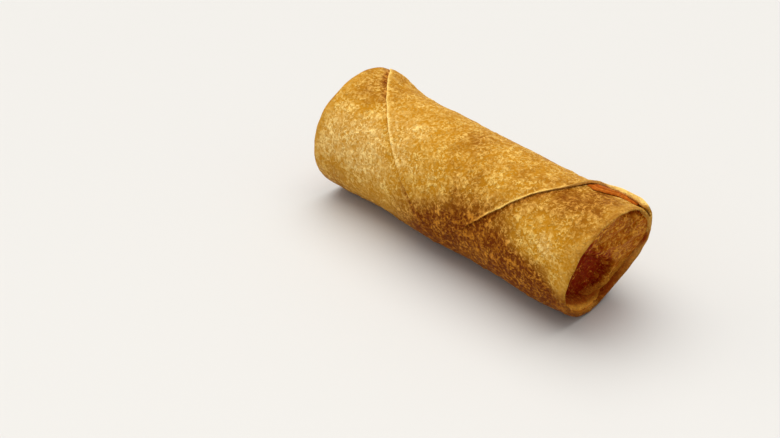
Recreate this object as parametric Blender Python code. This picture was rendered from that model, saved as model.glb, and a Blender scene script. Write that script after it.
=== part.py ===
"""A whole fried spring roll, lying on its side.

A square sheet is rolled from one corner round its filling, with both sides folded in. The last
corner lies over the front as a flap with two slanting edges, and the folded sides leave a tucked
hollow at each end. Lengths are in metres, angles in degrees, +X runs along the roll to the end
that is seen, and an angle round the roll counts from the top (+Z) towards the front (-Y).
"""

import bpy
import bmesh
import numpy as np

# Main sizes
NEAR_END = 0.0634
FAR_END = -0.0638
FAR_RIM_WAVE = 0.0005
UNDER_RADIUS = 0.0206
SHEET = 0.00075
AXIS_HEIGHT = 0.0206

# The slanting rim of the near end, by the angle round it
NEAR_RIM_LEAN = 0.0043
NEAR_RIM_TOP = 14
NEAR_DIP = 0.0030
NEAR_DIP_AT = -142
NEAR_DIP_SPREAD = 34
NEAR_PINCH = 0.0010
NEAR_PINCH_FROM = 0.040

# The flared top corner of the far end
FLARE = 0.0038
FLARE_AT = -38
FLARE_SPREAD = 28
FLARE_FROM = -0.040
FLARE_FULL = -0.060

# The low waves of a fried skin, each a share, a length along X, turns round and a phase
WAVE = 0.00010
WAVES = ((1.0, 0.0085, 2, 0), (0.7, -0.0130, 3, 1), (0.5, 0.0052, -5, 0))

# The longer wave of the front, and the waist behind the flap's corner
FRONT_WAVE = 0.00045
FRONT_WAVE_AT = 137
FRONT_WAVE_SPREAD = 50
FRONT_WAVE_CREST = -0.009
FRONT_WAVE_LENGTH = 0.049
WAIST = 0.0005
WAIST_X = 0.030
WAIST_LENGTH = 0.007
WAIST_SPREAD = 40

# The rounded lip: its depth along X, the drop to its edge, and its outline as shares of both
LIP_IN = 0.0012
LIP_BAND = 0.0030
LIP_DROP = 0.0011
LIP_OUTLINE = ((1.5, 0.05), (0.7, 0.3), (0.15, 0.65), (0.0, 1.0), (0.25, 1.5), (1.0, 2.0))
WALL = LIP_DROP * LIP_OUTLINE[-1][1]
FLOOR_INSET = 0.0004

# The hollows: a tilted floor, with folds that lie along curves of three guide points (front, up)
HOLLOW_LEAST = 0.0022
HOLLOW_MOST = 0.0085
NEAR_DEPTH = 0.0046
NEAR_TILT = (0.148, -0.085)
NEAR_FOLDS = (
    (-0.0024, 0.0014, ((-0.0175, 0.0010), (-0.0030, -0.0045), (0.0008, -0.0140))),
    (0.0016, 0.0016, ((-0.0165, -0.0040), (-0.0090, -0.0130), (0.0010, -0.0180))),
    (0.0022, 0.0010, ((0.0000, 0.0178), (-0.0080, 0.0180), (-0.0145, 0.0125))),
)
FAR_DEPTH = 0.0052
FAR_TILT = (-0.087, 0.050)
FAR_FOLDS = (
    (-0.0026, 0.0016, ((0.0165, 0.0040), (0.0020, 0.0020), (-0.0060, -0.0150))),
    (-0.0018, 0.0014, ((-0.0150, 0.0080), (-0.0040, 0.0050), (-0.0010, 0.0160))),
)

# The flap: it starts under the back layer and ends in a tip at the front, pressed down there. Its
# free edge runs through guide points, each an X and an angle, and its last one is the lifted corner
SHEET_START = -78
LAST_TURN_FROM = 131
FAR_FOLD = (-0.0635, -40)
TIP = (0.0012, 118)
NEAR_EDGE = (
    (0.0132, 88), (0.0210, 68.5), (0.0265, 53), (0.0301, 41.5), (0.0336, 29.3),
    (0.0366, 18.9), (0.0398, 9), (0.0420, -8), (0.0429, -37),
)
SLIT_FROM_X = 0.0441
SLIT_ANGLE = -41
EDGE_INSET = 0.0003
SHEET_START_LENGTH = 9
SUNK = 0.0006
TIP_PRESSED = 0.0005
PRESSED = (62, 110)

# The lift of the flap's near corner: where it grows and fades along X and round the roll
FLAP_LIFT = 0.0023
LIFT_GROWS_X = (0.030, 0.050)
LIFT_FADES_X = (0.0565, 0.0630)
LIFT_FADE_X = 0.70
LIFT_GROWS_ANGLE = (-70, -43)
LIFT_FADES_ANGLE = (-36, 25)
LIFT_FADE_ANGLE = 0.72
LIFT_FREES = (0.0002, 0.0012)

# How near to an end the sheets start to follow its slanting rim
FOLLOW_NEAR = (0.040, 0.058)
FOLLOW_FAR = (-0.045, -0.058)

# The inner fold that shows in the slit at the flap's lifted corner
FOLD_START = -66
FOLD_FROM_X = 0.0405
FOLD_TO_X = 0.0612
FOLD_EDGE_ANGLES = (-15, -32)
FOLD_RISES_X = (0.0415, 0.0465)
FOLD_RISES_ANGLE = (-60, -38)
FOLD_THICKNESS = 0.0005
FOLD_GAP = 0.0003

# Facets
COLUMNS = 60
BODY_STEPS = 20
HOLLOW_RINGS = 8
SHEET_COLUMNS = 44
SHEET_ROWS = 17
FOLD_COLUMNS = 12
FOLD_ROWS = 8


def smooth(low, high, value):
    """0 up to low, 1 from high on, and an even curve between them."""
    t = np.clip((value - low) / (high - low), 0, 1)
    return t * t * (3 - 2 * t)


def hump(value, middle, spread):
    """1 at the middle, fading to 0 on both sides."""
    return np.exp(-0.5 * ((value - middle) / spread) ** 2)


def around(angle, middle):
    """The angle as its nearest turn to the middle, so that a hump closes round the roll."""
    return (angle - middle + 180) % 360 - 180


def near_rim(angle):
    """Where the near end's rim lies along X: a leaning plane with a dip low at the back."""
    lean = NEAR_RIM_LEAN * (np.cos(np.radians(angle - NEAR_RIM_TOP)) - 1)
    dip = NEAR_DIP * hump(around(angle, NEAR_DIP_AT), 0, NEAR_DIP_SPREAD)
    return NEAR_END + lean - dip


def far_rim(angle):
    """Where the far end's rim lies along X: almost square, a little wavy."""
    return FAR_END + FAR_RIM_WAVE * (1 - np.cos(np.radians(2 * angle + 60)))


def skin(x, angle):
    """The radius of the under layer: a round roll, flared, pinched and waved a little."""
    turn = np.radians(angle)
    flare = FLARE * smooth(FLARE_FROM, FLARE_FULL, x) * hump(around(angle, FLARE_AT), 0, FLARE_SPREAD)
    low_back = hump(around(angle, NEAR_DIP_AT), 0, NEAR_DIP_SPREAD)
    pinch = NEAR_PINCH * smooth(NEAR_PINCH_FROM, NEAR_END, x) * low_back
    wave = sum(share * np.sin(x / length + turns * turn + phase) for share, length, turns, phase in WAVES)
    crests = np.cos(2 * np.pi * (x - FRONT_WAVE_CREST) / FRONT_WAVE_LENGTH)
    front = FRONT_WAVE * crests * hump(around(angle, FRONT_WAVE_AT), 0, FRONT_WAVE_SPREAD)
    waist = WAIST * hump(x, WAIST_X, WAIST_LENGTH) * hump(around(angle, SLIT_ANGLE), 0, WAIST_SPREAD)
    return UNDER_RADIUS + flare - pinch - waist + front + WAVE * wave


def winding(angle):
    """The last turn's climb over its own start: 0 at the front, one sheet at the back."""
    past_tip = (angle - LAST_TURN_FROM) % 360
    last = (SHEET_START - LAST_TURN_FROM) % 360
    slit = (SLIT_ANGLE - LAST_TURN_FROM) % 360
    return SHEET * (smooth(0, last, past_tip) - smooth(last, slit - 10, past_tip))


def place(x, angle, radius):
    """The points at these stations, angles and radii, resting flat on z = 0."""
    turn = np.radians(angle)
    x, turn, radius = np.broadcast_arrays(x, turn, radius)
    z = np.maximum(AXIS_HEIGHT + radius * np.cos(turn), 0)
    return np.stack([x, -radius * np.sin(turn), z], axis=-1)


def distance_to_curve(front, up, start, bend, end):
    """How far points of an end lie from a fold line, a curve of three guide points."""
    t = np.linspace(0, 1, 25)[:, None]
    line = (1 - t) ** 2 * np.array(start) + 2 * t * (1 - t) * np.array(bend) + t**2 * np.array(end)
    return np.sqrt(np.min((front[..., None] - line[:, 0]) ** 2 + (up[..., None] - line[:, 1]) ** 2, axis=-1))


def hollow_depth(radius, angle, middle, tilt, folds):
    """How deep a hollow is below its rim: a tilted floor with ridges and creases along its folds."""
    front, up = radius * np.sin(np.radians(angle)), radius * np.cos(np.radians(angle))
    depth = middle + tilt[0] * front + tilt[1] * up
    for height, width, guide in folds:
        depth = depth + height * hump(distance_to_curve(front, up, *guide), 0, width)
    return np.clip(depth, HOLLOW_LEAST, HOLLOW_MOST)


def near_depth(radius, angle):
    """The near hollow is deepest low at the front, with a ridge, a crease and a slot at the top."""
    return hollow_depth(radius, angle, NEAR_DEPTH, NEAR_TILT, NEAR_FOLDS)


def far_depth(radius, angle):
    """The far hollow has two folded ridges that cross its middle."""
    return hollow_depth(radius, angle, FAR_DEPTH, FAR_TILT, FAR_FOLDS)


def hollow_rings(angle, rim, inward, depth_of):
    """The rings of one end from its lip to the middle of its hollow; inward is -1 or 1 along X."""
    outer = skin(rim, angle) + winding(angle)
    rings = [(rim + inward * LIP_IN * back, outer - LIP_DROP * drop) for back, drop in LIP_OUTLINE]
    floor_radius = outer - WALL - FLOOR_INSET
    halfway = (LIP_IN + depth_of(floor_radius, angle)) / 2
    rings.append((rim + inward * halfway, outer - WALL - FLOOR_INSET / 4))
    for step in range(HOLLOW_RINGS):
        share = 1 - step / HOLLOW_RINGS
        plane = rim.mean() + (rim - rim.mean()) * share
        rings.append((plane + inward * depth_of(floor_radius * share, angle), floor_radius * share))
    return rings


def loft(mesh, rings, first_pole, last_pole):
    """Closes a surface over rings of points, from one pole to the other."""
    verts = [[mesh.verts.new(point) for point in ring] for ring in rings]
    for lower, upper in zip(verts, verts[1:]):
        for i in range(len(lower)):
            k = (i + 1) % len(lower)
            mesh.faces.new((lower[i], lower[k], upper[k], upper[i]))
    for ring, pole in ((verts[0], first_pole), (verts[-1], last_pole)):
        tip = mesh.verts.new(pole)
        for i in range(len(ring)):
            mesh.faces.new((ring[i], ring[(i + 1) % len(ring)], tip))


def new_object(name, mesh):
    """Makes an object of a closed mesh, with its faces pointing out."""
    bmesh.ops.triangulate(mesh, faces=mesh.faces)
    bmesh.ops.recalc_face_normals(mesh, faces=mesh.faces)
    data = bpy.data.meshes.new(name)
    mesh.to_mesh(data)
    mesh.free()
    obj = bpy.data.objects.new(name, data)
    bpy.context.scene.collection.objects.link(obj)
    return obj


def rolled_body():
    """The roll without its flap: body, both lips and both hollows, as one closed surface."""
    angle = np.arange(COLUMNS) * 360 / COLUMNS - 180
    near, far = near_rim(angle), far_rim(angle)
    near_rings = hollow_rings(angle, near, -1, near_depth)
    far_rings = hollow_rings(angle, far, 1, far_depth)
    low, high = far + LIP_BAND, near - LIP_BAND
    body = []
    for step in range(BODY_STEPS + 1):
        x = low + (high - low) * step / BODY_STEPS
        body.append((x, skin(x, angle) + winding(angle)))
    rings = far_rings[::-1] + body + near_rings
    points = [place(x, angle, radius) for x, radius in rings]
    far_pole = (far.mean() + far_depth(0.0, np.zeros(1))[0], 0, AXIS_HEIGHT)
    near_pole = (near.mean() - near_depth(0.0, np.zeros(1))[0], 0, AXIS_HEIGHT)
    mesh = bmesh.new()
    loft(mesh, points, far_pole, near_pole)
    return new_object("rolled_body", mesh)


def cut_corners(line):
    """A smoother line through guide points: its corners are cut at quarters, three times."""
    for _ in range(3):
        before, after = line[:-1], line[1:]
        cut = np.stack([0.75 * before + 0.25 * after, 0.25 * before + 0.75 * after], axis=1)
        line = np.vstack([line[:1], cut.reshape(-1, 2), line[-1:]])
    return line


def flap_edge(count):
    """Points of the flap's free edge as X and angle: slanting out to the tip and back.

    Past its lifted corner the edge runs along the roll to the rim.
    """
    arc = np.pi / 180 * (UNDER_RADIUS + SHEET)
    near_line = cut_corners(np.array((TIP,) + NEAR_EDGE))
    slit_line = [(SLIT_FROM_X, SLIT_ANGLE), (near_rim(SLIT_ANGLE) - EDGE_INSET, SLIT_ANGLE)]
    line = np.vstack([[FAR_FOLD], near_line, slit_line])
    run = np.append(0, np.cumsum(np.hypot(np.diff(line[:, 0]), np.diff(line[:, 1]) * arc)))
    kept = np.linspace(0, run[-1], count)
    kept[np.argmin(abs(kept - run[1]))] = run[1]
    return np.interp(kept, run, line[:, 0]), np.interp(kept, run, line[:, 1])


def corner_lift(x, angle):
    """How far the flap stands off the roll round its near corner."""
    along = smooth(*LIFT_GROWS_X, x) * (1 - LIFT_FADE_X * smooth(*LIFT_FADES_X, x))
    back = smooth(*LIFT_GROWS_ANGLE, angle)
    return FLAP_LIFT * along * back * (1 - LIFT_FADE_ANGLE * smooth(*LIFT_FADES_ANGLE, angle))


def sheet_solid(name, x, angle, inner, outer):
    """A thin closed solid between two grids of radii over the same X and angles."""
    top, under = place(x, angle, outer), place(x, angle, inner)
    mesh = bmesh.new()
    upper = [[mesh.verts.new(point) for point in row] for row in top]
    lower = [[mesh.verts.new(point) for point in row] for row in under]
    rows, columns = len(upper), len(upper[0])
    for i in range(rows - 1):
        for k in range(columns - 1):
            for layer in (upper, lower):
                mesh.faces.new((layer[i][k], layer[i][k + 1], layer[i + 1][k + 1], layer[i + 1][k]))
    border = [(0, k) for k in range(columns)] + [(i, columns - 1) for i in range(1, rows)]
    border += [(rows - 1, k) for k in range(columns - 2, -1, -1)] + [(i, 0) for i in range(rows - 2, 0, -1)]
    for (i, k), (m, n) in zip(border, border[1:] + border[:1]):
        mesh.faces.new((upper[i][k], upper[m][n], lower[m][n], lower[i][k]))
    return new_object(name, mesh)


def follow_rims(x, edge_angle, angle):
    """Slides a station near an end so that it keeps its distance to the slanting rim."""
    near_shift = smooth(*FOLLOW_NEAR, x) * (near_rim(angle) - near_rim(edge_angle))
    far_shift = smooth(*FOLLOW_FAR, x) * (far_rim(angle) - far_rim(edge_angle))
    return x + near_shift + far_shift


def flap():
    """The outer sheet, from under the back layer to its slanting edges at the front."""
    edge_x, edge_angle = flap_edge(SHEET_COLUMNS)
    share = np.linspace(0, 1, SHEET_ROWS)[:, None]
    angle = SHEET_START + (edge_angle - SHEET_START) * share
    x = follow_rims(edge_x, edge_angle, angle)
    lift = corner_lift(x, angle)
    start = smooth(SHEET_START, SHEET_START + SHEET_START_LENGTH, angle)
    pressed = TIP_PRESSED * smooth(*PRESSED, angle)
    outer = skin(x, angle) + SHEET + lift - pressed - SUNK / 2 * (1 - start)
    thickness = SHEET + SUNK * (1 - smooth(*LIFT_FREES, lift))
    return sheet_solid("flap", x, angle, outer - thickness, outer)


def inner_fold():
    """The thin fold between the roll and the flap's lifted corner."""
    edge_x = np.linspace(FOLD_FROM_X, FOLD_TO_X, FOLD_COLUMNS)
    edge_angle = np.interp(edge_x, (FOLD_FROM_X, FOLD_TO_X), FOLD_EDGE_ANGLES)
    share = np.linspace(0, 1, FOLD_ROWS)[:, None]
    angle = FOLD_START + (edge_angle - FOLD_START) * share
    x = follow_rims(edge_x, edge_angle, angle)
    rise = smooth(*FOLD_RISES_ANGLE, angle) * smooth(*FOLD_RISES_X, x)
    inner = skin(x, angle) - SUNK + (SUNK + FOLD_GAP) * rise
    return sheet_solid("inner_fold", x, angle, inner, inner + FOLD_THICKNESS)


def join(name, pieces):
    """Unites closed solids into one object and removes the pieces."""
    first, others = pieces[0], pieces[1:]
    helpers = bpy.data.collections.new("helpers")
    bpy.context.scene.collection.children.link(helpers)
    for piece in others:
        bpy.context.scene.collection.objects.unlink(piece)
        helpers.objects.link(piece)
    union = first.modifiers.new("union", "BOOLEAN")
    union.operation = "UNION"
    union.solver = "EXACT"
    union.operand_type = "COLLECTION"
    union.collection = helpers
    bpy.context.view_layer.objects.active = first
    first.select_set(True)
    bpy.ops.object.modifier_apply(modifier=union.name)
    for piece in others:
        bpy.data.objects.remove(piece, do_unlink=True)
    bpy.data.collections.remove(helpers)
    first.name = name
    first.data.name = name
    return first


def fried_wrapper():
    """Golden ochre fried dough, matt with a little oil on it."""
    material = bpy.data.materials.new("fried_wrapper")
    material.use_nodes = True
    shader = material.node_tree.nodes["Principled BSDF"]
    shader.inputs["Base Color"].default_value = (0.52, 0.27, 0.06, 1)
    shader.inputs["Roughness"].default_value = 0.48
    shader.inputs["Metallic"].default_value = 0
    return material


def main():
    for obj in list(bpy.data.objects):
        bpy.data.objects.remove(obj, do_unlink=True)
    roll = join("spring_roll", [rolled_body(), flap(), inner_fold()])
    roll.data.materials.append(fried_wrapper())
    roll.data.shade_smooth()
    roll.data.set_sharp_from_angle(angle=np.radians(38))


main()
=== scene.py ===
import bpy
import numpy as np
from bpy.props import FloatProperty, FloatVectorProperty, IntProperty, PointerProperty
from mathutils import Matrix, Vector


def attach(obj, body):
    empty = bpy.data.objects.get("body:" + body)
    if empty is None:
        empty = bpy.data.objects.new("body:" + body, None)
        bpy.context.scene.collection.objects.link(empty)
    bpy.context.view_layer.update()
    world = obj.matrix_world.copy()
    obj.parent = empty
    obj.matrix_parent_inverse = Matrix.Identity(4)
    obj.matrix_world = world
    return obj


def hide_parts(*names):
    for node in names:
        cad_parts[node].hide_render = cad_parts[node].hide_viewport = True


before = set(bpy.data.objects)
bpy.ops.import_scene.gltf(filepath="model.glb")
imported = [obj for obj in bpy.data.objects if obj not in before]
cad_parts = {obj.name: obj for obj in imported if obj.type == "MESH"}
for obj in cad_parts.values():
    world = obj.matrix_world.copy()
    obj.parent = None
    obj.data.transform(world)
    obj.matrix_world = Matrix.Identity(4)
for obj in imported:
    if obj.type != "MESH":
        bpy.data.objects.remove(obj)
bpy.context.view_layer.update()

# A fried spring roll: the rolled wrapper, its last corner as a flap, the fold under the flap's
# lifted corner and the tucks inside both ends. Lengths are in metres, angles in degrees, and an
# angle round the roll counts from the top (+Z) towards the front (-Y).

bl_info = {
    "name": "Spring Roll",
    "version": (1, 0, 0),
    "blender": (4, 5, 0),
    "location": "3D View > Sidebar > Spring Roll",
    "description": "A fried spring roll from its rolled skin, flap, fold and tucked ends",
    "category": "Add Mesh",
}

BODY = "root"
NODE = "spring_roll"
MM = 0.001

# The slanting rim of the near end and the wavy one of the far end
FAR_RIM_WAVE = 0.5 * MM
NEAR_RIM_LEAN = 4.3 * MM
NEAR_RIM_TOP = 14
NEAR_DIP = 3.0 * MM
NEAR_DIP_AT = -142
NEAR_DIP_SPREAD = 34
NEAR_PINCH = 1.0 * MM
NEAR_PINCH_FROM = 40 * MM

# The flared top corner of the far end
FLARE_AT = -38
FLARE_SPREAD = 28
FLARE_FROM = -40 * MM
FLARE_FULL = -60 * MM

# Low waves of the skin: a share, a length along X for each radian, turns round and a phase
LOW_WAVE = 0.10 * MM
LOW_WAVES = ((1.0, 8.5 * MM, 2, 0), (0.7, -13 * MM, 3, 1), (0.5, 5.2 * MM, -5, 0))
FRONT_WAVE = 0.45 * MM
FRONT_WAVE_AT = 137
FRONT_WAVE_SPREAD = 50
FRONT_WAVE_CREST = -9 * MM
FRONT_WAVE_LENGTH = 49 * MM
WAIST = 0.5 * MM
WAIST_X = 30 * MM
WAIST_LENGTH = 7 * MM
WAIST_SPREAD = 40

# The hollows, in mm from the roll's axis. The near one's step is a line by front and up, and its
# ridge one by up and front. A fold is a height, a width and a curve of three guide points
HOLLOW_LEAST = 0.9 * MM
HOLLOW_MOST = 9.5 * MM
NEAR_DEPTH = 3.1 * MM
NEAR_TILT = (0.10, -0.07)
NEAR_STEP = 3.9 * MM
NEAR_STEP_LINE = (
    (-14.0, -7.0), (-9.0, -4.3), (-1.0, 0.0), (5.6, 4.3), (11.6, 7.1), (14.5, 7.3), (16.5, 4.5),
    (17.5, 1.0),
)
NEAR_STEP_WIDTH = 1.5 * MM
NEAR_RAGGED = 1.8 * MM
NEAR_RAGGED_LENGTH = 2.2 * MM
NEAR_RIDGE = (
    (1.0, -6.5), (0.0, -5.5), (-2.0, -7.2), (-6.0, -9.8), (-10.0, -9.6), (-14.0, -8.2), (-19.0, -4.5),
)
NEAR_RIDGE_HEIGHT = 0.8 * MM
NEAR_RIDGE_WIDTH = 0.9 * MM
NEAR_RIDGE_FULL = -4 * MM
NEAR_BOWL_INWARD = (-0.3 * MM, 2.6 * MM)
# The dark red of the near bowl, the far floor's deeper part and creases: browner dough with painted shade
NEAR_RED_BELOW = (-6.0 * MM, -0.8 * MM)
NEAR_RED_INWARD = (0, 1.3 * MM)
NEAR_FOLDS = (
    (2.6, 0.8, ((-15.5, -8.5), (-12.5, -13.5), (-6.0, -17.5))),
    (3.0, 1.5, ((-5.0, 18.6), (-10.5, 17.4), (-15.5, 14.2))),
    (0.8, 0.7, ((-12.5, 11.5), (-3.0, 7.5), (5.0, 7.0))),
    (-0.7, 0.8, ((-13.0, 5.0), (-5.0, 3.0), (3.0, 5.0))),
    (-0.8, 0.7, ((5.0, -4.0), (0.0, -8.0), (-2.0, -14.0))),
)
FAR_DEPTH = 5.2 * MM
FAR_TILT = (-0.087, 0.050)
FAR_RED_DEPTH = (3.4 * MM, 7.5 * MM)
FAR_FOLDS = (
    (-2.6, 1.3, ((16.5, 4.0), (2.0, 2.0), (-6.0, -15.0))),
    (-1.8, 1.1, ((-15.0, 8.0), (-4.0, 5.0), (-1.0, 16.0))),
    (1.5, 1.0, ((16.0, 0.5), (3.0, -1.0), (-3.0, -14.5))),
    (0.7, 0.6, ((-14.0, 4.0), (-5.0, 2.5), (1.0, 13.0))),
)
FOLDS_SHIFT = 0.7 * MM
FOLDS_SHIFT_LENGTH = 5 * MM
RUMPLES = ((0.45 * MM, 4.5 * MM), (0.20 * MM, 2 * MM))
CREASE_HEIGHT = (0.5, 2.0)
# The slope from an end's thick rim into its hollow: where it starts and is full round the roll at
# either side, and the level step before it, its middle, its spread round the roll and its width
SLOPE_FROM = 1.1 * MM
SLOPE_WIDTH = 2.2 * MM
NEAR_SLOPE = (-50, -75, 114, 130)
NEAR_STEP_IN = (158, 24, 2.0 * MM)
FAR_SLOPE = (-100, -130, 110, 140)
FAR_STEP_IN = (180, 40, 0.5 * MM)
SLOPE_UNEVEN = 0.35
SLOPE_UNEVEN_LENGTH = 3 * MM
SLOPE_PER_DEGREE = 0.1 * MM
# Painted bounce light on the slope at the back of an end, where it is in shade
PAINTED_BOUNCE_SLOPE = (-60, -85)
SHADED_DEPTH = (1.7 * MM, 3.0 * MM)
TUCK_BEHIND = 0.8 * MM
TUCK_BACK_RINGS = 5

# The lips and inner walls: a spot of red dough and a spot of painted bounce light, which makes an inner
# lip in shade lighter and more orange, are each an angle, a spread and a strength
LIP_IN = 1.2 * MM
LIP_RINGS = 11
LIP_INNER = (80, 150)
LIP_FADES = (LIP_IN, 2.4 * LIP_IN)
LIP_UNEVEN = 0.30 * MM
LIP_UNEVEN_LENGTH = 5 * MM
THIN_LIP = 0.9 * MM
THIN_LIP_AT = (-95, -55, 110, 132)
RED_LIP = ((-148, 13, 0.85), (-86, 8, 0.9), (-105, 25, 0.15))
PAINTED_BOUNCE_LIP = ((-104, 26, 0.9), (168, 22, 0.6))
WALL_DEPTH = 11 * MM
WALL_LEAN = 0.05
WALL_RINGS = 9
# Painted shade: deeper in the inner wall it turns to the dark red of the inside
WALL_INSIDE = (1.6 * MM, 6 * MM)
FLOOR_RINGS = 2
BAND_WIDTH = 2.4 * MM
BAND_FADES_AT = 160
BAND_FADES_SPREAD = 25
RIM_TOAST = 0.12
RIM_TOAST_FADES = (120, 160)

# The flap: under the back layer at its start, pressed down at its tip. Its points are X in mm and
# an angle, as the fold's are
SHEET_START = -78
LAST_TURN_FROM = 131
SHEET_START_LENGTH = 9
SUNK = 0.6 * MM
FAR_FOLD = (-63.5, -40)
TIP = (1.2, 118)
NEAR_EDGE = (
    (13.2, 88), (21.0, 68.5), (26.5, 53), (30.1, 41.5), (33.6, 29.3), (36.6, 18.9), (40.0, 9), (42.6, -8),
    (42.9, -37),
)
SLIT_FROM_X = 44.1 * MM
SLIT_ANGLE = -41
TIP_PRESSED = 0.60 * MM
PRESSED = (62, 90)
FAR_PRESSED = 24
FAR_SIDE_ENDS = (-6 * MM, 4 * MM)
ROWS_CROWDED = 1.25
HUG = 0.75
HUG_REACH = 3 * MM
EDGE_INSET = 0.3 * MM
EDGE_WAVE = 0.35 * MM
EDGE_WAVE_LENGTH = 6 * MM
EDGE_WAVE_ENDS = 6 * MM
CURL = 0.18 * MM
CURL_REACH = 2.2 * MM
CURL_FROM_TIP = (-4 * MM, 10 * MM)
CURL_GROWS_ANGLE = (110, 70)
FRAYED = 0.25 * MM
FRAYED_LENGTH = 1.7 * MM
EDGE_ROUND = 0.42 * MM
SIDE_ROUND = 0.3 * MM
EDGE_CALM = 1.2 * MM
EDGE_PALE_AND_LIT = 0.7 * MM
EDGE_THICK = 0.42 * MM
CORNER_THICKER = 1.05 * MM
CORNER_THICK = (0.7 * MM, 1.9 * MM)
RIM_THICKER = 0.2 * MM
RIM_THICK_X = (52 * MM, 58 * MM)

# Painted shadow on the skin beside the flap's slanting edges, and how far from them a degree is
BESIDE_PER_DEGREE = 0.26 * MM
BESIDE_STARTS = (-0.5 * MM, 0.3 * MM)
BESIDE_FADES = (0.3 * MM, 3 * MM)
BESIDE_TO_X = 42 * MM
BESIDE_SHADOW = 0.25
BESIDE_FAR_SHADOW = 0.2
BESIDE_FAR_X = (-44 * MM, -58 * MM)

# The lift of the flap's near corner: where it grows and fades along X and round the roll
LIFT_GROWS_X = (36 * MM, 50 * MM)
LIFT_FADES_X = (56.5 * MM, 63 * MM)
LIFT_FADE_X = 0.70
LIFT_GROWS_ANGLE = (-70, -43)
LIFT_FADES_ANGLE = (-36, 25)
LIFT_FADE_ANGLE = 0.72
LIFT_FREES = (0.2 * MM, 1.2 * MM)
FOLLOW_NEAR = (40 * MM, 58 * MM)
FOLLOW_FAR = (-45 * MM, -58 * MM)

# The inner fold in the slit
FOLD_START = -66
FOLD_EDGE = ((40.0, -14), (43.5, -17), (46.6, -13), (49.5, -18), (51.5, -26), (53.5, -35), (57.0, -41))
FOLD_COLUMNS = 90
FOLD_ROWS = 60
FOLD_WAVE = 1.5
FOLD_WAVE_LENGTH = 3 * MM
FOLD_RISES_X = (40.0 * MM, 46.0 * MM)
FOLD_CREASES = (1.5 * MM, 3.7 * MM)
FOLD_CREASE_WIDTH = 0.42 * MM
FOLD_CREASE_HEIGHT = 0.22 * MM
FOLD_RIPPLE = 0.12 * MM
FOLD_RIPPLE_LENGTH = 2.4 * MM
FOLD_RISES_ANGLE = (-60, -38)
FOLD_THICKNESS = 0.5 * MM
FOLD_GAP = 0.55 * MM
FOLD_TOUCHES = (0.75, 1.0)
FOLD_ROUND = 0.25 * MM
FOLD_WORN = 0.5 * MM

# Browned patches, two of them painted shade, and pale patches, some of them painted light: X, angle,
# spread along X, spread round and strength
# The browned patches at (46, 20) and (51, -12), under the slit, are painted shade
BROWNED_AND_SHADE = (
    (16, 99, 14, 23, 1.0), (30, 112, 14, 16, 0.9), (46, 122, 12, 16, 0.9), (-15, 96, 8, 15, 0.45),
    (1, 8, 5, 12, 0.35), (-50, 6, 6, 14, 0.5), (-46, 96, 8, 13, 0.35), (0, 145, 60, 26, 1.1),
    (-28, -118, 15, 22, 0.7), (20, 66, 9, 12, 0.28), (30, -142, 12, 20, 0.75), (-58, -100, 7, 24, 0.5),
    (6, -66, 9, 10, 0.35), (58, 20, 5, 14, 0.2), (46, 20, 8, 14, 0.40), (44, 96, 10, 14, 0.45),
    (9, 40, 7, 10, 0.40), (32, 48, 5, 11, 0.60), (41, 62, 4, 7, 0.50), (14, 116, 13, 10, 0.60),
    (49, 80, 4, 7, 0.45), (51, -12, 6, 14, 0.45),
)
# Painted light among the pale patches: a glare at (48, 72) and (39, 56), bounce light at (-35, 112), (63,
# 150) and (61, -90)
PALE_AND_LIGHT = (
    (-43, 60, 11, 24, 0.8), (-12, 57, 14, 15, 0.6), (48, 72, 6, 12, 1.2), (39, 56, 8, 9, 0.9),
    (22, 39, 10, 12, 0.4), (-22, 22, 9, 14, 0.5), (-12, -80, 10, 14, 0.7), (40, -104, 8, 15, 0.6),
    (-46, -60, 7, 12, 0.5), (-35, 112, 16, 24, 1.0), (-12, 84, 12, 16, 0.2), (-54, 72, 8, 18, 0.5),
    (58, 104, 6, 20, 1.5), (63, 150, 3, 24, 2.4), (61, -90, 5, 30, 0.8),
)
BROWNED_AND_SHADE_SHARE = 0.6
PALE_AND_LIGHT_SHARE = 0.4

# The rest of the browning: a base share, painted shade on the lower sides of the near part with some
# browning there, more painted shade towards the near end, where less light falls, a lessening, and noises
# by strength and size
TOAST_MIDDLE = 0.4
SHADE_LOW_SIDES = 0.26
SHADE_LOW_SIDES_ANGLE = (55, 110)
SHADE_LOW_SIDES_X = (-28 * MM, 12 * MM)
SHADE_NEAR_END = 0.10
SHADE_NEAR_END_X = (-28 * MM, 14 * MM)
TOAST_LESS = 0.03
TOAST_NOISES = ((0.12, 9 * MM), (0.10, 3 * MM))

# The fried skin's relief: its noises, and the heights of its parts for a blister of 1
WORM_SIZE = 2.5 * MM
WORM_WIDTH = (0.05, 0.38)
WORM_BEND = 0.8 * MM
WORM_BEND_SIZE = 3.0 * MM
WORM_CUT_SIZE = 3.0 * MM
WORM_CUT = (-0.15, 0.25)
WORM_HEIGHT = 0.8
DENSE_SIZE = 8 * MM
DENSE = (-0.35, 0.35)
BLISTER_SIZE = 2.6 * MM
BLISTER_SHARE = 0.5
SKIN_RUMPLES = ((0.9, 12 * MM), (0.7, 5 * MM))
RELIEF_SUNK = 0.8

# The stage: lights by name, direction, spread, strength and colour, and the camera of the photo
FLOOR_REACH = 8.0
LIGHTS = (
    ("key", (-0.18, 0.12, 0.97), 75, 2.7, (1.0, 0.98, 0.95)),
    ("fill", (-0.80, -0.55, 0.35), 60, 0.55, (1.0, 0.95, 0.88)),
)
WORLD_STRENGTH = 0.46
SENSOR_WIDTH = 36.0
LENS = 81.2
CLIP = (0.01, 20.0)
CAMERA_AT = (0.3677, -0.3596, 0.31242)
CAMERA_AZIMUTH = 48.96
CAMERA_ELEVATION = 30.4


# Numbers on grids

def smooth(low, high, value):
    """0 up to low, 1 from high on, and 3t^2 - 2t^3 between them."""
    t = np.clip((value - low) / (high - low), 0, 1)
    return t * t * (3 - 2 * t)


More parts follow.
